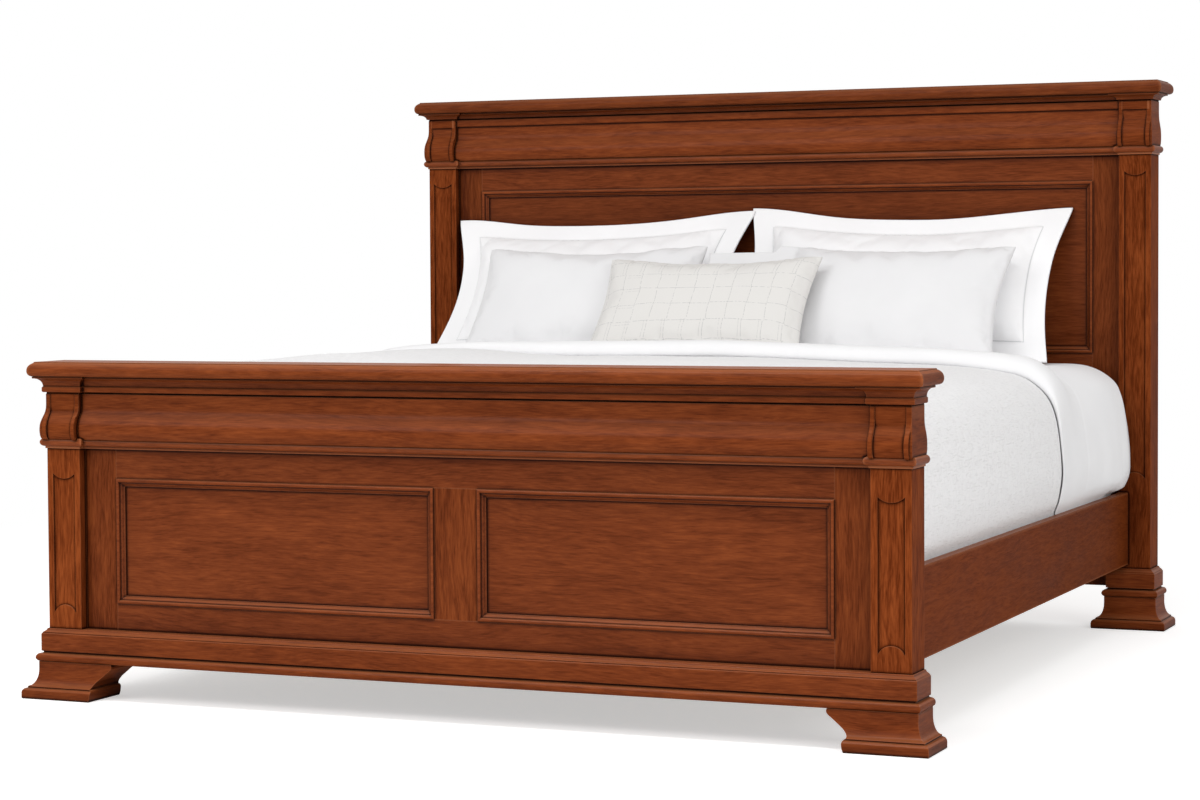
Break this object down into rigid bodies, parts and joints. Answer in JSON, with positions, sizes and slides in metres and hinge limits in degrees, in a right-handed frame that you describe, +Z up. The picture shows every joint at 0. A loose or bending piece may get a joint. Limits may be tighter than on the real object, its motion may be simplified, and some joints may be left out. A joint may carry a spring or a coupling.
{
  "type": "king size panel bed",
  "caption": "King size wooden panel bed with corniced headboard and footboard, carved corbels, bracket feet, slatted base, mattress, coverlet, pillows and cushion.",
  "frame": {"origin": "on the floor, in the middle of the bed's bounding box", "axes": "+X to the right as seen from the foot end, +Y from the footboard to the headboard, +Z up"},
  "size_m": [2.24, 2.333, 1.476],
  "materials": {
    "cherry": "stained reddish brown, satin lacquer",
    "cherry_dark": "stained reddish brown, darker in the quirks, satin lacquer",
    "plain_wood": "planed, unfinished",
    "steel": "zinc plated",
    "cotton": "white cotton, plain or finely figured weave",
    "mattress": "quilted ticking",
    "cushion": "off-white linen with a thin grey windowpane check"
  },
  "bodies": {
    "bed": {"head_post_left": "cherry", "head_post_right": "cherry", "head_foot_left": "cherry", "head_foot_right": "cherry", "head_base_left": "cherry", "head_base_right": "cherry", "head_corbel_left": "cherry", "head_corbel_right": "cherry", "head_bead": "cherry", "head_frieze": "cherry", "head_cove": "cherry", "head_cap": "cherry", "head_top_rail": "cherry", "head_stile_left": "cherry", "head_stile_right": "cherry", "head_panel": "cherry", "head_panel_moulding": "cherry_dark", "head_middle_rail": "cherry", "head_lower_panel": "cherry", "head_bottom_rail": "cherry", "foot_post_left": "cherry", "foot_post_right": "cherry", "foot_foot_left": "cherry", "foot_foot_right": "cherry", "foot_base": "cherry", "foot_corbel_left": "cherry", "foot_corbel_right": "cherry", "foot_bead": "cherry", "foot_frieze": "cherry", "foot_cove": "cherry", "foot_cap": "cherry", "foot_top_rail": "cherry", "foot_bottom_rail": "cherry", "foot_stile_left": "cherry", "foot_stile_right": "cherry", "foot_middle_stile": "cherry", "foot_panel_left": "cherry", "foot_panel_right": "cherry", "foot_panel_moulding_left": "cherry_dark", "foot_panel_moulding_right": "cherry_dark", "side_rail_left": "cherry", "side_rail_right": "cherry", "ledger_left": "plain_wood", "ledger_right": "plain_wood", "rail_hooks_left": "steel", "rail_hooks_right": "steel", "slats": "plain_wood", "centre_beam": "plain_wood", "centre_leg_front": "plain_wood", "centre_leg_rear": "plain_wood", "mattress": "mattress", "coverlet": "cotton", "turned_sheet": "cotton", "sham_left": "cotton", "sham_right": "cotton", "pillow_left": "cotton", "pillow_right": "cotton", "lumbar_cushion": "cushion"},
    "levelling_foot_front": {"leveller_front": "steel"},
    "levelling_foot_rear": {"leveller_rear": "steel"}
  },
  "joints": [
    {"name": "front_leveller_screw", "type": "slide", "parent": "bed", "child": "levelling_foot_front", "axis": [0, 0, -1], "range_m": [-0.008, 0.015]},
    {"name": "rear_leveller_screw", "type": "slide", "parent": "bed", "child": "levelling_foot_rear", "axis": [0, 0, -1], "range_m": [-0.008, 0.015]}
  ]
}
